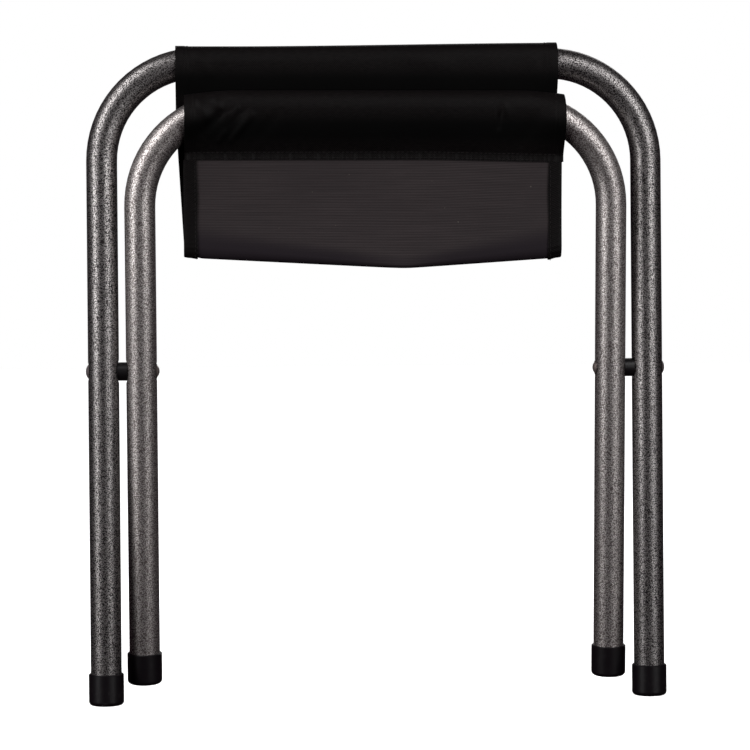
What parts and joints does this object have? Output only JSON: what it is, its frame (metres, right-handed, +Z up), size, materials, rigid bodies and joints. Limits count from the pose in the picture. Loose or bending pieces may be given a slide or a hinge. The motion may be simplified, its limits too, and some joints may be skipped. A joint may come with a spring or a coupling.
{
  "type": "folding camp stool",
  "caption": "Folding camp stool: two crossed U-shaped bent-tube frames riveted together, with rubber foot caps and a cloth sling seat sewn round both top bars.",
  "frame": {"origin": "on the floor, under the middle of the folded stool's box; the outer frame's foot caps stand on z = 0", "axes": "+X to the stool's right seen from the side where the inner bar is nearer, +Y away from that side, +Z up along the outer frame's legs"},
  "size_m": [0.4172, 0.0568, 0.47],
  "materials": {
    "frame_tube": "silver-grey hammertone enamel",
    "foot_cap": "satin black moulded",
    "rivet": "dark plated",
    "washer": "dark plated",
    "spacer": "black moulded",
    "seat_cloth": "black Oxford weave, grey-brown coating on its underside",
    "thread": "black polyester thread"
  },
  "bodies": {
    "pivots": {"left_pivot_rivet": "rivet", "left_pivot_spacer": "spacer", "left_tail_washer": "washer", "right_pivot_rivet": "rivet", "right_pivot_spacer": "spacer", "right_tail_washer": "washer"},
    "outer_frame": {"outer_frame_tube": "frame_tube", "outer_left_foot_cap": "foot_cap", "outer_right_foot_cap": "foot_cap"},
    "inner_frame": {"inner_frame_tube": "frame_tube", "inner_left_foot_cap": "foot_cap", "inner_right_foot_cap": "foot_cap"},
    "rear_seat": {"rear_sleeve": "seat_cloth", "rear_panel": "seat_cloth", "rear_left_hem": "seat_cloth", "rear_right_hem": "seat_cloth", "rear_seam_stitching": "thread", "rear_hem_stitching": "thread"},
    "front_seat": {"front_panel": "seat_cloth", "front_left_hem": "seat_cloth", "front_right_hem": "seat_cloth", "front_hem_stitching": "thread"},
    "front_sleeve": {"front_sleeve": "seat_cloth", "front_seam_stitching": "thread"}
  },
  "joints": [
    {"name": "frame_fold", "type": "hinge", "parent": "pivots", "child": "outer_frame", "pos_m": [0, -0.00163, 0.238], "axis": [-1, 0, 0], "range_deg": [0, 39.94]},
    {"name": "inner_frame_fold", "type": "hinge", "parent": "pivots", "child": "inner_frame", "pos_m": [0, -0.00163, 0.238], "axis": [1, 0, 0], "range_deg": [0, 31.63]},
    {"name": "rear_sleeve_turn", "type": "hinge", "parent": "outer_frame", "child": "rear_seat", "pos_m": [0, -0.00163, 0.458], "axis": [-1, 0, 0], "range_deg": [0, 34.42], "deforming": ["rear_sleeve"]},
    {"name": "seat_crease", "type": "hinge", "parent": "rear_seat", "child": "front_seat", "pos_m": [0, -0.00613, 0.313], "axis": [1, 0, 0], "range_deg": [0, 150.15], "deforming": ["front_panel", "front_left_hem", "front_right_hem", "front_hem_stitching"]},
    {"name": "front_sleeve_turn", "type": "hinge", "parent": "inner_frame", "child": "front_sleeve", "pos_m": [0, -0.01643, 0.42491], "axis": [1, 0, 0], "range_deg": [0, 44.17], "deforming": ["front_sleeve"]}
  ],
  "couplings": [
    {"joint": "inner_frame_fold", "follows": "frame_fold", "ratio": 0.79189},
    {"joint": "rear_sleeve_turn", "follows": "frame_fold", "ratio": 0.8617},
    {"joint": "seat_crease", "follows": "frame_fold", "ratio": 3.7594},
    {"joint": "front_sleeve_turn", "follows": "frame_fold", "ratio": 1.1058}
  ]
}
